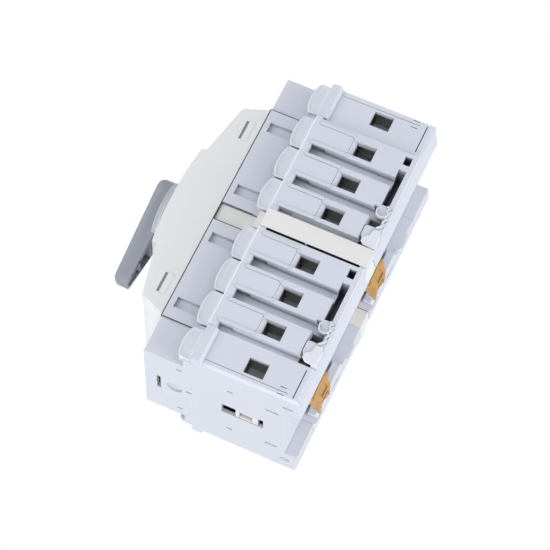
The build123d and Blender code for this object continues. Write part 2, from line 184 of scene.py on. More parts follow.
def linear(colour):
    """Scene-linear colour of a 0-255 display colour."""
    out = []
    for c in colour:
        c /= 255.0
        out.append(c / 12.92 if c <= 0.04045 else ((c + 0.055) / 1.055) ** 2.4)
    return out + [1.0]


def scaled(colour, factor):
    return [c * factor for c in colour[:3]] + [1.0]


def moulded(name, colour, roughness=0.42, grain=0.06, drift=0.04, edge=0.25, corner_shade=0.45, depth=0.85):
    """Moulded plastic: cloudy tone, painted highlights on edges, painted shade in corners, seams and deep
    wells, flow marks and a fine grain.

    grain is the strength of the pits, drift the share by which the tone wanders, edge the radius of the
    softened edges and of their painted highlight, and corner_shade and depth say how strongly painted shade
    darkens corners, seams and deep wells.
    """
    shade = Shade(bpy.data.materials.new(name))
    base = linear(colour)
    cloud = shade.noise(CLOUD_SCALE, 4.0, 0.6)
    tone = shade.mix(cloud, scaled(base, 1 - drift), scaled(base, 1 + drift * 0.6))
    soft = shade.soft_normal(edge)
    flat = shade.node("ShaderNodeNewGeometry", output="Normal")
    level = shade.node("ShaderNodeVectorMath", {"operation": "DOT_PRODUCT"}, {0: soft, 1: flat},
                       output="Value")
    # Painted highlight along the edges
    tone = shade.mix(shade.graded(1 - level, HIGHLIGHT_TURN, HIGHLIGHT_SHARE), tone, scaled(base, HIGHLIGHT_TONE))
    # Painted shade in corners and between parts
    corner_shade_mask = (1 - shade.openness(CORNER_SHADE_REACH, 6)) * corner_shade
    tone = shade.mix(corner_shade_mask, tone, scaled(base, CORNER_SHADE_TONE))
    # Painted shade in deep wells, as strong as depth says
    well_shade_mask = shade.graded(shade.openness(WELL_SHADE_REACH, 8, own_only=True), WELL_SHADE_OPENNESS, (depth, 0.0))
    tone = shade.mix(well_shade_mask, tone, scaled(base, WELL_SHADE_TONE))
    streak = shade.noise(1.0, 2.0, stretch=FLOW_STRETCH)
    pits = shade.noise(PIT_SCALE, 2.0, 0.6)
    return shade.finish(shade.surface({
        "Base Color": tone, "Roughness": roughness - 0.05 + 0.06 * cloud + 0.05 * streak, "IOR": 1.5,
        "Normal": shade.bump(grain, PIT_DEPTH, pits, soft)}))


def plated(name, colour):
    """Zinc-plated or copper-alloy metal with dull patches and a drawn grain across x."""
    shade = Shade(bpy.data.materials.new(name))
    base = linear(colour)
    patch = shade.noise(PATCH_SCALE, 5.0, 0.65)
    drawn = shade.noise(1.0, 2.0, stretch=DRAWN_STRETCH)
    return shade.finish(shade.surface({
        "Base Color": shade.mix(patch, scaled(base, 0.78), scaled(base, 1.08)), "Metallic": 1.0,
        "Roughness": PLATED_ROUGHNESS + 0.2 * patch,
        "Normal": shade.bump(DRAWN_STRENGTH, DRAWN_DEPTH, drawn, shade.soft_normal(PLATED_EDGE))}))


def flat_look(name, colour):
    """Ink or a narrow dark joint: nearly even, slightly mottled."""
    shade = Shade(bpy.data.materials.new(name))
    base = linear(colour)
    mottle = shade.noise(MOTTLE_SCALE, 3.0, 0.6)
    return shade.finish(shade.surface({
        "Base Color": shade.mix(mottle, scaled(base, 0.85), scaled(base, 1.12)),
        "Roughness": FLAT_ROUGHNESS + 0.1 * mottle}))


body_plastic = moulded("body_plastic_look", (214, 217, 227))
cover_plastic = moulded("cover_plastic_look", (229, 229, 230))
cream_plastic = moulded("cream_plastic_look", (231, 230, 227))
handle_plastic = moulded("handle_plastic_look", (150, 153, 163), roughness=0.5, grain=0.1, edge=0.5)
dial_plastic = moulded("dial_plastic_look", (188, 190, 200))
# A lighter copy of the body plastic: painted light on the visor brims and wire guards
body_plastic_painted_light = moulded("body_plastic_painted_light_look", (226, 229, 237), edge=0.3)
amber_plastic = moulded("amber_plastic_look", (196, 152, 90), roughness=0.34, grain=0.03, drift=0.08,
                        depth=0.2)
# A darker copy of the amber plastic: painted shade in the clips' windows
amber_painted_shade = moulded("amber_painted_shade_look", (172, 128, 74), roughness=0.4, grain=0.03)
# Near-white: painted highlights along the block edges
edge_painted_highlight = moulded("edge_painted_highlight_look", (248, 249, 253), edge=0.1, corner_shade=0.1, depth=0.0)
screw_steel = plated("screw_steel_look", (196, 194, 186))
contact_metal = plated("contact_metal_look", (140, 122, 106))
joint_dark = flat_look("narrow_joint_look", (62, 62, 66))
# Near-black: painted shade in the gap beside the spacer
gap_painted_shade = flat_look("gap_painted_shade_look", (34, 34, 36))
# Grey: painted shade on the latches seen through the cover's windows
latch_painted_shade = flat_look("latch_painted_shade_look", (150, 149, 146))
mark_ink = flat_look("mark_ink_look", (70, 72, 78))

LOOKS = {"body_plastic": body_plastic, "cover_plastic": cover_plastic, "cream_plastic": cream_plastic,
         "handle_plastic": handle_plastic, "amber_plastic": amber_plastic, "screw_steel": screw_steel,
         "contact_metal": contact_metal}
slot_of = {entry["node"]: entry["material_slot"] for entry in frame["record"]["subparts"]}
for node_name, node_object in frame["nodes"].items():
    for material_slot in node_object.material_slots:
        material_slot.material = LOOKS[slot_of[node_name]]
frame["nodes"]["dial_ring"].material_slots[0].material = dial_plastic

# Sizes of the switch that the pieces below follow

# Heights of the lower and upper faces: terminal blocks, nose and cover
FACE_Z = 32.0
NOSE_Z = 22.5
COVER_Z = 22.3
COVER_RIM_Y = -57.9
COVER_END_X = 48.95
PLATEAU_Y = -76.4
PLATEAU_BOW = 318.5
BASE_FRONT = -38.7
SCREW_Z = 25.0
HEAD_FRONT = -38.9
HEAD_REAR = -36.95
# Middles of the poles in the three-pole units, and with the single poles
THREE_POLES = [-41.5, -26.5, -11.5, 11.5, 26.5, 41.5]
POLES = [-57.5] + THREE_POLES + [57.5]
FIRST_POLES = {"left": -41.5, "right": 11.5}
UNIT_STARTS = (-49.0, 4.0)
UNIT_WIDTH = 45.0


class Tree:
    """A Geometry Nodes tree that is run once on a carrier mesh and left as a plain mesh."""

    def __init__(self, name, inputs):
        self.group = bpy.data.node_groups.new(name, "GeometryNodeTree")
        self.group.interface.new_socket("Geometry", in_out="INPUT", socket_type="NodeSocketGeometry")
        for label, size in inputs.items():
            made = self.group.interface.new_socket(label, in_out="INPUT", socket_type="NodeSocketFloat")
            made.default_value = size
        self.group.interface.new_socket("Geometry", in_out="OUTPUT", socket_type="NodeSocketGeometry")
        self.entry = self.group.nodes.new("NodeGroupInput")
        self.exit = self.group.nodes.new("NodeGroupOutput")

    def given(self, label):
        return self.entry.outputs[label]

    def node(self, kind, settings=None, inputs=None, output=0):
        """Add a node: its settings first, then the values or links of its sockets."""
        made = self.group.nodes.new(kind)
        for key, setting in (settings or {}).items():
            setattr(made, key, setting)
        for key, entry in (inputs or {}).items():
            if isinstance(entry, bpy.types.NodeSocket):
                self.group.links.new(entry, made.inputs[key])
            elif isinstance(entry, list):
                for link in entry:
                    self.group.links.new(link, made.inputs[key])
            else:
                made.inputs[key].default_value = entry
        return made.outputs[output]

    def maths(self, operation, first, second):
        return self.node("ShaderNodeMath", {"operation": operation}, {0: first, 1: second})

    def raised(self, geometry, z):
        """The geometry, moved along z."""
        offset = self.node("ShaderNodeCombineXYZ", None, {"Z": z})
        return self.node("GeometryNodeTransform", None, {"Geometry": geometry, "Translation": offset})

    def bake(self, name, points, geometry, material):
        """Run the tree on the points and keep the result as one mesh object at the origin."""
        solid = self.node("GeometryNodeRealizeInstances", None, {"Geometry": geometry})
        dressed = self.node("GeometryNodeSetMaterial", None, {"Geometry": solid, "Material": material})
        self.group.links.new(dressed, self.exit.inputs["Geometry"])
        carrier_mesh = bpy.data.meshes.new(name + "_points")
        carrier_mesh.from_pydata([tuple(c * MM for c in point) for point in points], [], [])
        carrier = bpy.data.objects.new(name + "_points", carrier_mesh)
        scene.collection.objects.link(carrier)
        modifier = carrier.modifiers.new("tree", "NODES")
        modifier.node_group = self.group
        graph = bpy.context.evaluated_depsgraph_get()
        made = bpy.data.meshes.new_from_object(carrier.evaluated_get(graph), preserve_all_data_layers=True,
                                               depsgraph=graph)
        carrier.modifiers.remove(modifier)
        bpy.data.objects.remove(carrier)
        made.name = name
        piece = bpy.data.objects.new(name, made)
        scene.collection.objects.link(piece)
        return piece


# Terminal screws: chamfered cheese head with a cross recess, and a threaded shank down to the cage

# The chamfer starts just under half the head's height, so that it overlaps the barrel
CHAMFER_START = 0.4999
CHAMFER_HEIGHT = 0.3
CHAMFER_SHARE = 0.86
RECESS_MIDDLE = 1.05
CORE_SHARE = 0.9
RIDGE_RADIUS = 0.2
SCREW_SIZES = {"Head radius": 2.3, "Head height": 1.95, "Shank radius": 1.75, "Shank length": 15.75,
               "Slot width": 0.62, "Slot length": 2.9, "Slot depth": 1.1, "Thread pitch": 0.7}

screw_tree = Tree("terminal_screw", {label: size * MM for label, size in SCREW_SIZES.items()})
head_radius = screw_tree.given("Head radius")
head_height = screw_tree.given("Head height")
shank_radius = screw_tree.given("Shank radius")
shank_length = screw_tree.given("Shank length")

barrel = screw_tree.node("GeometryNodeMeshCylinder", None,
                         {"Vertices": 36, "Radius": head_radius, "Depth": head_height})
chamfer_top = screw_tree.maths("MULTIPLY", head_radius, CHAMFER_SHARE)
chamfer = screw_tree.node("GeometryNodeMeshCone", None,
                          {"Vertices": 36, "Radius Top": chamfer_top, "Radius Bottom": head_radius,
                           "Depth": CHAMFER_HEIGHT * MM})
chamfer = screw_tree.raised(chamfer, screw_tree.maths("MULTIPLY", head_height, CHAMFER_START))
head = screw_tree.node("GeometryNodeMeshBoolean", {"operation": "UNION"}, {"Mesh 2": [barrel, chamfer]})
bar_size = screw_tree.node("ShaderNodeCombineXYZ", None,
                           {"X": screw_tree.given("Slot length"), "Y": screw_tree.given("Slot width"),
                            "Z": screw_tree.given("Slot depth")})
bars = []
for quarter in range(2):
    bar = screw_tree.node("GeometryNodeMeshCube", None, {"Size": bar_size})
    bars.append(screw_tree.node("GeometryNodeTransform", None,
                                {"Geometry": bar, "Rotation": (0.0, 0.0, math.radians(45 + 90 * quarter)),
                                 "Translation": (0.0, 0.0, RECESS_MIDDLE * MM)}))
head = screw_tree.node("GeometryNodeMeshBoolean", {"operation": "DIFFERENCE"},
                       {"Mesh 1": head, "Mesh 2": bars})

core_radius = screw_tree.maths("MULTIPLY", shank_radius, CORE_SHARE)
core = screw_tree.node("GeometryNodeMeshCylinder", None,
                       {"Vertices": 16, "Radius": core_radius, "Depth": shank_length})
thread_turns = screw_tree.maths("DIVIDE", shank_length, screw_tree.given("Thread pitch"))
thread_line = screw_tree.node("GeometryNodeCurveSpiral", None,
                              {"Resolution": 12, "Rotations": thread_turns, "Start Radius": shank_radius,
                               "End Radius": shank_radius, "Height": shank_length})
ridge = screw_tree.node("GeometryNodeCurvePrimitiveCircle", {"mode": "RADIUS"},
                        {"Resolution": 4, "Radius": RIDGE_RADIUS * MM})
thread = screw_tree.node("GeometryNodeCurveToMesh", None,
                         {"Curve": thread_line, "Profile Curve": ridge, "Fill Caps": True})
shank_middle = screw_tree.maths("MULTIPLY", screw_tree.maths("ADD", head_height, shank_length), -0.5)
shank_foot = screw_tree.maths("SUBTRACT", shank_middle, screw_tree.maths("MULTIPLY", shank_length, 0.5))
screw = screw_tree.node("GeometryNodeJoinGeometry", None,
                        {"Geometry": [head, screw_tree.raised(core, shank_middle),
                                      screw_tree.raised(thread, shank_foot)]})
placed = screw_tree.node("GeometryNodeInstanceOnPoints", None,
                         {"Points": screw_tree.given("Geometry"), "Instance": screw,
                          "Rotation": (math.radians(90), 0.0, 0.0)})
head_middle = (HEAD_FRONT + HEAD_REAR) / 2
screws = screw_tree.bake("terminal_screws", [(x, head_middle, s * SCREW_Z) for x in POLES for s in (-1, 1)],
                         placed, screw_steel)
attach(screws, "housing")
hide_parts("terminal_screws_left", "terminal_screws_right")


class Shell:
    """Collects closed bodies, in millimetres, that become one mesh."""

    def __init__(self):
        self.verts = []
        self.faces = []

    def rings(self, rings):
        """Closed skin through rings of equal count, capped at both ends."""
        base = len(self.verts)
        count = len(rings[0])
        for ring in rings:
            self.verts += [tuple(v) for v in ring]
        for level in range(len(rings) - 1):
            low = base + level * count
            for i in range(count):
                j = (i + 1) % count
                self.faces.append((low + i, low + j, low + count + j, low + count + i))
        self.faces.append(tuple(range(base, base + count)))
        last = base + (len(rings) - 1) * count
        self.faces.append(tuple(range(last, last + count)))

    def slab(self, x, y, z):
        """Box given by its three extents."""
        corners = [(x[0], y[0]), (x[1], y[0]), (x[1], y[1]), (x[0], y[1])]
        self.rings([[(px, py, level) for px, py in corners] for level in z])

    def wall(self, path, thickness, z):
        """Upright wall along an open path of (x, y) points."""
        sides = []
        for i, (x, y) in enumerate(path):
            ax, ay = path[max(i - 1, 0)]
            bx, by = path[min(i + 1, len(path) - 1)]
            length = math.hypot(bx - ax, by - ay)
            nx, ny = (ay - by) / length * thickness / 2, (bx - ax) / length * thickness / 2
            sides.append(((x + nx, y + ny), (x - nx, y - ny)))
        outline = [a for a, b in sides] + [b for a, b in reversed(sides)]
        self.rings([[(px, py, level) for px, py in outline] for level in z])

    def profile(self, points, x):
        """Profile of (y, z) points run across x."""
        self.rings([[(px, y, z) for y, z in points] for px in x])

    def hoop(self, radius, y, thickness, around=72, section=6):
        """Ring of round wire about the y axis."""
        base = len(self.verts)
        for turn in range(section):
            phase = 2 * math.pi * turn / section
            reach = radius + thickness * math.cos(phase)
            for step in range(around):
                angle = 2 * math.pi * step / around
                self.verts.append((reach * math.cos(angle), y + thickness * math.sin(phase),
                                   reach * math.sin(angle)))
        for turn in range(section):
            low, high = base + turn * around, base + (turn + 1) % section * around
            for i in range(around):
                j = (i + 1) % around
                self.faces.append((low + i, low + j, high + j, high + i))

    def piece(self, name, material, body, slot, smooth=False):
        """Make the mesh, with its faces turned outwards, riding on a body."""
        mesh = bpy.data.meshes.new(name)
        mesh.from_pydata([tuple(c * MM for c in v) for v in self.verts], [], self.faces)
        build = bmesh.new()
        build.from_mesh(mesh)
        bmesh.ops.recalc_face_normals(build, faces=build.faces)
        build.to_mesh(mesh)
        build.free()
        mesh.materials.append(material)
        for polygon in mesh.polygons:
            polygon.use_smooth = smooth
        piece = bpy.data.objects.new(name, mesh)
        scene.collection.objects.link(piece)
        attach(piece, body)
        return piece


STRIP_SUNK = -0.02


def strips(name, lines, width, material, body, slot, proud=0.03):
    """Flat bands that stand a little proud, each along a line of points and on the side that it faces.

    Every stretch runs on by half the width at both ends, which closes the corners.
    """
    shell = Shell()
    for points, facing in lines:
        normal = Vector(facing)
        for a, b in zip(points[:-1], points[1:]):
            a, b = Vector(a), Vector(b)
            along = (b - a).normalized()
            across = along.cross(normal) * width / 2
            a, b = a - along * width / 2, b + along * width / 2
            shell.rings([[a + across + normal * height, b + across + normal * height,
                          b - across + normal * height, a - across + normal * height]
                         for height in (STRIP_SUNK, proud)])
    shell.piece(name, material, body, slot)


# Fine joints on the terminal blocks and position marks on the cover

# Outline of the pad on each block, and the ribs beside it, measured from the middle of the pole
PAD = [(-3.55, -36.0), (-3.55, -22.2), (-2.8, -21.5), (3.4, -21.5), (4.15, -22.2), (4.15, -36.0)]
RIB_X = (-5.0, 5.6)
RIB_Y = (-36.2, -21.6)
PAD_JOINT_WIDTH = 0.11

pad_lines = []
for middle in THREE_POLES:
    for s in (-1, 1):
        z = s * FACE_Z
        facing = (0, 0, s)
        pad_lines.append(([(middle + x, y, z) for x, y in PAD], facing))
        for x in RIB_X:
            pad_lines.append(([(middle + x, y, z) for y in RIB_Y], facing))
strips("pad_joints", pad_lines, PAD_JOINT_WIDTH, joint_dark, "housing", "body_plastic")

# One bar, a ring and two bars, each clockwise of the lever's tip in its position
MARK_LEAD = 32
MARK_REACH = (21.0, 19.6)
RING_RADII = (0.95, 1.45)
BAR_HALF = 1.4
PAIR_HALF = 0.7
MARK_WIDTH = 0.42


def plateau(x):
    """Depth of the cover's bowed plateau."""
    return PLATEAU_Y + x * x / PLATEAU_BOW


mark_lines = []
for turned, bar_shifts in ((180, (0.0,)), (90, None), (0, (-PAIR_HALF, PAIR_HALF))):
    angle = math.radians(turned - MARK_LEAD)
    cx, cz = MARK_REACH[0] * math.cos(angle), MARK_REACH[1] * math.sin(angle)
    if bar_shifts:
        outlines = [[(cx + shift, cz - BAR_HALF), (cx + shift, cz + BAR_HALF)] for shift in bar_shifts]
    else:
        ring_turns = [t * math.pi / 12 for t in range(25)]
        outlines = [[(cx + RING_RADII[0] * math.cos(t), cz + RING_RADII[1] * math.sin(t))
                     for t in ring_turns]]
    for outline in outlines:
        mark_lines.append(([(x, plateau(x), z) for x, z in outline], (0, -1, 0)))
strips("position_marks", mark_lines, MARK_WIDTH, mark_ink, "housing", "handle_plastic")

# Brim on each visor: a raised, rounded rim round a shallow dish, in a lighter copy of the body plastic as
# painted light

VISOR_Z = 28.3
VISOR_FRONT = -45.0
VISOR_CORNER = -43.5
VISOR_HALF = 7.15
SINGLE_VISOR_HALF = 6.75
CORNER_SHARE = 0.95
FRONT_BOW = 1.4
DISH_HALF = 3.1
BRIM_LAP = 0.05
# Inset from the outline and height over the visor, from the outer foot of the brim to the dish
BRIM = ((0.0, -0.02), (0.0, 0.3), (0.25, 0.5), (0.6, 0.52), (1.0, 0.36), (1.7, 0.22))

visors = Shell()
heart_y = (VISOR_FRONT + BASE_FRONT) / 2
for middle in POLES:
    half = VISOR_HALF if middle in THREE_POLES else SINGLE_VISOR_HALF
    side_points = [(half, BASE_FRONT - BRIM_LAP), (half, VISOR_CORNER + 0.5),
                   (half * CORNER_SHARE, VISOR_CORNER - 0.1)]
    outline = [(middle - x, y) for x, y in side_points]
    for step in range(1, 12):
        across = half * (step / 6 - 1) * CORNER_SHARE
        outline.append((middle + across, VISOR_FRONT - BRIM_LAP + FRONT_BOW * (across / half) ** 2))
    outline += [(middle + x, y) for x, y in reversed(side_points)]
    for s in (-1, 1):
        rings = []
        for inset, height in BRIM:
            fx, fy = 1 - inset / half, 1 - inset / DISH_HALF
            rings.append([(middle + (x - middle) * fx, heart_y + (y - heart_y) * fy, s * (VISOR_Z + height))
                          for x, y in outline])
        visors.rings(rings)
visors.piece("visor_brims", body_plastic_painted_light, "housing", "body_plastic")

# Cover: the raised lip behind each latch window, and a grey plate of painted shade on the latch seen in it

LATCH_X = (32.0, 40.6)
LATCH_Y = (-64.18, -63.06)
LATCH_SUNK = (0.7, 0.3)
LATCH_PLAY = 0.02
LIP_OVERHANG = 0.15
LIP = [(-63.05, -0.5), (-63.05, 0.22), (-61.0, 0.26), (-60.3, 0.03), (-58.05, 0.02), (-58.05, -0.5)]

lips = Shell()
latch_shades = Shell()
for side in (-1, 1):
    x = sorted(side * edge for edge in LATCH_X)
    for s in (-1, 1):
        lips.profile([(y, s * (COVER_Z + z)) for y, z in LIP], (x[0] - LIP_OVERHANG, x[1] + LIP_OVERHANG))
        depths = sorted(s * (COVER_Z - sunk) for sunk in LATCH_SUNK)
        latch_shades.slab((x[0] + LATCH_PLAY, x[1] - LATCH_PLAY), LATCH_Y, depths)
lips.piece("cover_latch_lips", cover_plastic, "housing", "cover_plastic")
latch_shades.piece("cover_latch_painted_shades", latch_painted_shade, "housing", "cover_plastic")

# Joints between the mouldings, painted highlights on the block edges, and painted shade in the spacer's gap

# Dark joint under the cover's rim
RIM_WIDTH = 0.5
RIM_PROUD = 0.05
rim_lines = []
for s in (-1, 1):
    rim_lines.append(([(x, COVER_RIM_Y, s * COVER_Z) for x in (-COVER_END_X, COVER_END_X)], (0, 0, s)))
strips("cover_joint", rim_lines, RIM_WIDTH, joint_dark, "housing", "body_plastic", proud=RIM_PROUD)

# Painted highlights: near-white strips along the front and rear edges of the three-pole units
BLOCK_HIGHLIGHT_Y = (BASE_FRONT + 0.2, 4.25)
BLOCK_HIGHLIGHT_WIDTH = 0.36
BLOCK_HIGHLIGHT_INSET = 0.3
block_highlight_lines = []
for s in (-1, 1):
    for start in UNIT_STARTS:
        ends = (start + BLOCK_HIGHLIGHT_INSET, start + UNIT_WIDTH - BLOCK_HIGHLIGHT_INSET)
        for y in BLOCK_HIGHLIGHT_Y:
            block_highlight_lines.append(([(x, y, s * FACE_Z) for x in ends], (0, 0, s)))
strips("block_edge_painted_highlights", block_highlight_lines, BLOCK_HIGHLIGHT_WIDTH, edge_painted_highlight, "housing", "body_plastic")

# Dark joints on the nose, either side of the spacer and of the single poles
NOSE_JOINT_X = (-49.0, -4.0, 3.85, 49.0)
NOSE_JOINT_Y = (-57.4, -45.0)
NOSE_JOINT_WIDTH = 0.3
nose_lines = []
for s in (-1, 1):
    for x in NOSE_JOINT_X:
        nose_lines.append(([(x, y, s * NOSE_Z) for y in NOSE_JOINT_Y], (0, 0, s)))
strips("nose_joints", nose_lines, NOSE_JOINT_WIDTH, joint_dark, "housing", "body_plastic")

# Painted shade: a near-black sheet in the gap beside the spacer's proud strip, on the side of the left unit
GAP_X = (-3.975, -3.93)
GAP_STRETCHES = ((-35.8, -20.2), (-19.4, 1.9))
GAP_Z = (26.25, 32.3)
gap_shade = Shell()
for s in (-1, 1):
    for y in GAP_STRETCHES:
        gap_shade.slab(GAP_X, y, sorted(s * z for z in GAP_Z))
gap_shade.piece("spacer_gap_painted_shade", gap_painted_shade, "housing", "body_plastic")

# Upper foot: a rounded lobe on the rear edge at each pole of the three-pole units

# Place across the pole, and how far the lobe stands out there
LOBE = ((-7.3, 0.1), (-6.8, 0.75), (-5.9, 1.0), (-1.2, 1.0), (0.3, 0.6), (0.9, 0.05))

lobes = Shell()
for middle in THREE_POLES:
    rings = []
    for x, out in LOBE:
        section = ((4.6, 17.75), (5.0 + out * 0.95, 17.95), (5.15 + out, 19.4), (5.5 + out * 0.4, 23.0),
                   (4.6, 23.0))
        rings.append([(middle + x, y, z) for y, z in section])
    lobes.rings(rings)
lobes.piece("foot_lobes", body_plastic, "housing", "body_plastic")

# Wire guards at the rear of each unit's first pole, on the lower side, in a lighter copy of the body plastic
# as painted light

# Cupped disc, pleated wall, and flat wing with a rounded rim, each measured from the middle of the pole
CUP_MIDDLE = (8.9, 0.9)
CUP_RADIUS = 2.5
CUP_WALL = 0.5
CUP_Z = (-32.9, -31.5)
PLEAT_WALL = 0.75
PLEAT_Z = (-32.8, -29.6)
REAR_PLEAT_SHIFT = (-0.6, 0.9)
REAR_PLEAT_Z = (-32.4, -30.0)
PLEATS = [(11.6, 1.6), (11.0, 2.8), (9.7, 2.3), (8.5, 3.1), (7.2, 2.5), (6.0, 3.3), (4.7, 2.7), (3.5, 3.4),
          (2.3, 2.3), (1.3, 1.2)]
WING = [(-7.3, 2.6), (-6.9, -0.6), (-5.6, -2.0), (-3.8, -2.1), (-2.2, 0.1), (0.9, 0.9), (1.1, 3.4),
        (-1.0, 4.1), (-7.2, 4.2)]
WING_MIDDLE = (-2.9, 1.0)
WING_RIM = ((0.0, 31.9), (0.0, 32.3), (0.3, 32.55), (0.8, 32.55))

guards = Shell()
for pole in FIRST_POLES.values():
    cup_turns = [math.radians(t) for t in range(70, 291, 20)]
    guards.wall([(pole + CUP_MIDDLE[0] + CUP_RADIUS * math.cos(t), CUP_MIDDLE[1] + CUP_RADIUS * math.sin(t))
                 for t in cup_turns], CUP_WALL, CUP_Z)
    guards.wall([(pole + x, y) for x, y in PLEATS], PLEAT_WALL, PLEAT_Z)
    guards.wall([(pole + x + REAR_PLEAT_SHIFT[0], y + REAR_PLEAT_SHIFT[1]) for x, y in PLEATS[1:8]],
                PLEAT_WALL, REAR_PLEAT_Z)
    guards.rings([[(pole + WING_MIDDLE[0] + (x - WING_MIDDLE[0]) * (1 - inset / 4),
                    WING_MIDDLE[1] + (y - WING_MIDDLE[1]) * (1 - inset / 3), -height) for x, y in WING]
                  for inset, height in WING_RIM])
guards.piece("wire_guards", body_plastic_painted_light, "housing", "body_plastic")

# Rail clips: window frame, rounded ears and edge prongs on the head, a darker amber plate of painted shade in
# the window, and the dark line of the clip's track

# Lower and upper end of the head's slope as (y, z), and the direction out of it
SLOPE_LOW = (3.0, -1.2)
SLOPE_HIGH = (6.2, 3.0)
SLOPE_OUT = (0.795, -0.606)
# Places on the slope: across the clip, and along the slope from 0 to 1
HEAD_HALF = 4.63
WINDOW_X = (-2.4, 2.7)
WINDOW_ALONG = (0.26, 0.84)
FRAME_BARS = (((-HEAD_HALF, HEAD_HALF), (0.02, WINDOW_ALONG[0])),
              ((-HEAD_HALF, HEAD_HALF), (WINDOW_ALONG[1], 0.99)),
              ((-HEAD_HALF, WINDOW_X[0]), WINDOW_ALONG),
              ((WINDOW_X[1], HEAD_HALF), WINDOW_ALONG))
EAR = [(4.5, 0.0), (6.1, 0.0), (6.6, 0.12), (6.6, 0.34), (6.1, 0.46), (5.3, 0.44), (4.9, 0.6), (4.5, 0.7)]
# How far each stands in and out of the slope
FRAME_OUT = (-0.1, 0.35)
EAR_OUT = (-0.5, 0.3)
WINDOW_OUT = (-0.1, 0.04)
# Extents of the edge prongs, and of the block behind the window
PRONG = ((3.7, 4.66), (5.3, 6.3), (3.0, 12.2))
BLOCK = ((-2.65, 2.65), (4.3, 5.8), (3.3, 6.9))
TRACK = ([(-6.3, 2.9, -1.3), (5.2, 2.9, -1.3)], (0, 0, -1))
TRACK_WIDTH = 0.55
TRACK_PROUD = 0.02


def on_slope(pole, x, along, out):
    """Point on the head's slope: across the clip, along the slope, and out of it."""
    y = SLOPE_LOW[0] + (SLOPE_HIGH[0] - SLOPE_LOW[0]) * along + SLOPE_OUT[0] * out
    z = SLOPE_LOW[1] + (SLOPE_HIGH[1] - SLOPE_LOW[1]) * along + SLOPE_OUT[1] * out
    return (pole + x, y, z)


def slope_plate(shell, pole, x, along, out):
    """Rectangular plate on the slope, given by its three extents."""
    corners = ((x[0], along[0]), (x[1], along[0]), (x[1], along[1]), (x[0], along[1]))
    shell.rings([[on_slope(pole, px, pa, level) for px, pa in corners] for level in out])


for side, pole in FIRST_POLES.items():
    body = "rail_clip_" + side
    head = Shell()
    for x, along in FRAME_BARS:
        slope_plate(head, pole, x, along, FRAME_OUT)
    for end in (-1, 1):
        head.rings([[on_slope(pole, end * px, pa, out) for px, pa in EAR] for out in EAR_OUT])
        head.slab(sorted(pole + end * px for px in PRONG[0]), PRONG[1], PRONG[2])
    head.slab([pole + px for px in BLOCK[0]], BLOCK[1], BLOCK[2])
    head.piece("clip_head_" + side, amber_plastic, body, "amber_plastic")
    # Darker amber plate in the window: painted shade
    window = Shell()
    slope_plate(window, pole, WINDOW_X, WINDOW_ALONG, WINDOW_OUT)
    window.piece("clip_window_" + side, amber_painted_shade, body, "amber_plastic")
    track = ([(pole + x, y, z) for x, y, z in TRACK[0]], TRACK[1])
    strips("clip_track_" + side, [track], TRACK_WIDTH, joint_dark, body, "amber_plastic", proud=TRACK_PROUD)

# Handle: a wedge with a crowned front and rounded corners, hollow behind towards its tip, with two ribs

# Ends of the wedge along x, and its half width there
LEVER_FAR = 11.5
LEVER_WIDE = 10.2
LEVER_TIP = -34.0
LEVER_NARROW = 3.3
LEVER_LEAN = (LEVER_WIDE - LEVER_NARROW) / (LEVER_FAR - LEVER_TIP)
TIP_ROUND = 2.4
FAR_ROUND = 5.0
# From here to the tip the lever thins: its front and rear move in y by their taper
TAPER_START = -15.5
TAPER_LENGTH = 18.5
HOLLOW_END = -16.5
HOLLOW_WALL = 1.1
# Bottom and mouth of the hollow: y and taper
HOLLOW = ((-84.9, 0.4), (-78.7, -1.5))
RIBS = (((-24.5, -23.5), (-85.0, -79.6), (-4.2, 4.2)), ((-33.0, -16.4), (-85.0, -80.3), (-0.5, 0.5)))
# Crown of the outside, from the rear rim to the front: inset, y and taper
CROWN = ((0.0, -78.7, -1.5), (0.0, -84.3, 0.5), (0.12, -85.2, 0.6), (0.45, -86.0, 0.7), (0.95, -86.6, 0.75),
         (1.6, -87.0, 0.8), (2.3, -87.2, 0.8), (2.9, -87.28, 0.8))


def lever_outline(inset, tip_round, far_round):
    """Wedge outline as (x, z) points, moved in by the inset, with rounded corners."""
    far, tip = LEVER_FAR - inset, LEVER_TIP + inset
    corners = [(far, LEVER_WIDE - inset, far_round), (tip, LEVER_NARROW - inset, tip_round),
               (tip, inset - LEVER_NARROW, tip_round), (far, inset - LEVER_WIDE, far_round)]
    points = []
    for i, (x, z, radius) in enumerate(corners):
        before, after = corners[i - 1], corners[(i + 1) % 4]
        start = Vector((before[0] - x, before[1] - z)).normalized() * radius
        end = Vector((after[0] - x, after[1] - z)).normalized() * radius
        for step in range(7):
            t = step / 6
            bend = start * (1 - t) ** 2 + end * t ** 2
            points.append((x + bend.x, z + bend.y))
    return points


def lever_ring(inset, y, taper, hollow=False):
    """Outline of the lever at y; the ring of the hollow stops at HOLLOW_END."""
    ring = []
    for x, z in lever_outline(inset, max(TIP_ROUND - 0.5 * inset, 0.3), max(FAR_ROUND - inset, 0.4)):
        if hollow and x > HOLLOW_END:
            room = LEVER_NARROW + (HOLLOW_END - LEVER_TIP) * LEVER_LEAN - inset
            x, z = HOLLOW_END, max(-room, min(z, room))
        ring.append((x, y + taper * max(0.0, (TAPER_START - x) / TAPER_LENGTH), z))
    return ring


lever = Shell()
inside = [lever_ring(HOLLOW_WALL, y, taper, hollow=True) for y, taper in HOLLOW]
lever.rings(inside + [lever_ring(*level) for level in CROWN])
for x, y, z in RIBS:
    lever.slab(x, y, z)
handle_shell = lever.piece("handle_shell", handle_plastic, "handle", "handle_plastic")
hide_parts("handle")

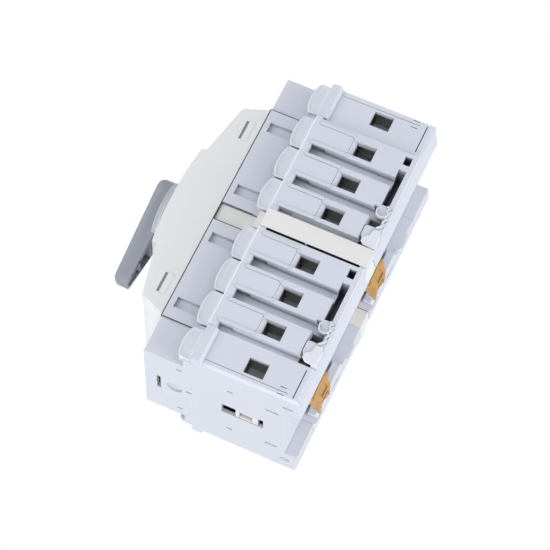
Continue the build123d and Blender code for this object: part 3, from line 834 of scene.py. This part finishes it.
# Pale line along the front of the lever
POINTER = ([(-31.5, -86.56, 0), (-20.0, -87.06, 0)], (0, -1, 0))
POINTER_WIDTH = 0.8
POINTER_PROUD = 0.06
strips("handle_pointer", [POINTER], POINTER_WIDTH, cream_plastic, "handle", "handle_plastic",
       proud=POINTER_PROUD)

# Bright rims on the dial ring
DIAL_RADIUS = 13.5
RIM_PLACES = (-80.62, -79.0, -77.1)
RIM_THICKNESS = 0.16
rims = Shell()
for y in RIM_PLACES:
    rims.hoop(DIAL_RADIUS, y, RIM_THICKNESS)
rims.piece("dial_ring_rims", cover_plastic, "handle", "cover_plastic", smooth=True)

# Stage: a floor seen only from above, a white world and soft boxes

FLOOR_REACH = 3.0
FLOOR_DROP = 0.001

floor_z = cad_box[0][2] - FLOOR_DROP
floor_mesh = bpy.data.meshes.new("floor")
floor_corners = [(x * FLOOR_REACH, y * FLOOR_REACH, floor_z) for x, y in ((-1, -1), (1, -1), (1, 1), (-1, 1))]
floor_mesh.from_pydata(floor_corners, [], [(0, 1, 2, 3)])
floor = bpy.data.objects.new("floor", floor_mesh)
scene.collection.objects.link(floor)


def ray_kinds(shade, *kinds):
    """1 for rays of the named kinds."""
    total = shade.node("ShaderNodeLightPath", output=kinds[0])
    for kind in kinds[1:]:
        total = total + shade.node("ShaderNodeLightPath", output=kind)
    return total


floor_shade = Shade(bpy.data.materials.new("floor_look"))
from_above = 1 - floor_shade.node("ShaderNodeNewGeometry", output="Backfacing")
shown = ray_kinds(floor_shade, "Is Camera Ray", "Is Glossy Ray", "Is Transmission Ray") * from_above
pale = floor_shade.node("ShaderNodeBsdfDiffuse", None, {"Color": (0.86, 0.86, 0.87, 1.0)})
clear = floor_shade.node("ShaderNodeBsdfTransparent")
floor_mix = floor_shade.node("ShaderNodeMixShader", None, {0: shown, 1: clear, 2: pale})
floor_mesh.materials.append(floor_shade.finish(floor_mix))

world = bpy.data.worlds.new("studio")
scene.world = world
sky = Shade(world)
ambient = sky.node("ShaderNodeBackground", None, {"Color": (0.93, 0.96, 1.0, 1.0), "Strength": 0.55})
white = sky.node("ShaderNodeBackground", None, {"Color": (1.0, 1.0, 1.0, 1.0), "Strength": 1.0})
behind = ray_kinds(sky, "Is Camera Ray", "Is Transmission Ray")
sky_mix = sky.node("ShaderNodeMixShader", None, {0: behind, 1: ambient, 2: white})
sky.finish(sky_mix, "ShaderNodeOutputWorld")

# Metres from here on: each soft box with its direction, distance, size and power
SWITCH_CENTRE = Vector((0, -0.035, 0))
SOFT_BOXES = (("key_soft_box", (-0.1, 1.0, -0.3), 1.2, 0.9, 8.6),
              ("side_soft_box", (-1.0, 0.2, -0.2), 1.2, 0.9, 7.4),
              ("front_soft_box", (-0.1, -1.0, -0.8), 1.3, 0.9, 7.4),
              ("top_soft_box", (0.2, -0.4, 1.0), 1.3, 1.0, 9.0),
              ("right_soft_box", (1.0, 0.2, 0.3), 1.3, 0.9, 5.0))
for name, direction, distance, size, power in SOFT_BOXES:
    light = bpy.data.lights.new(name, "AREA")
    light.shape = "SQUARE"
    light.size = size
    light.energy = power
    holder = bpy.data.objects.new(name, light)
    scene.collection.objects.link(holder)
    toward = Vector(direction).normalized()
    holder.location = SWITCH_CENTRE + toward * distance
    holder.rotation_mode = "QUATERNION"
    holder.rotation_quaternion = toward.to_track_quat("Z", "Y")

# Camera fitted to the photograph: its place and its right, up and backward directions
CAMERA_PLACE = (-0.3978, 0.1290, -0.8167)
CAMERA_AXES = ((0.41363, 0.91022, -0.02033), (0.80436, -0.37580, -0.46020), (-0.42652, 0.17400, -0.88758))
LENS = 156.9
SENSOR_WIDTH = 36.0
NEAREST, FARTHEST = 0.05, 10.0
camera_data = bpy.data.cameras.new("photo_camera")
camera_data.lens = LENS
camera_data.sensor_width = SENSOR_WIDTH
camera_data.clip_start = NEAREST
camera_data.clip_end = FARTHEST
camera = bpy.data.objects.new("photo_camera", camera_data)
scene.collection.objects.link(camera)
camera.matrix_world = Matrix.Translation(CAMERA_PLACE) @ Matrix(CAMERA_AXES).transposed().to_4x4()
scene.camera = camera

scene.view_settings.view_transform = "Standard"
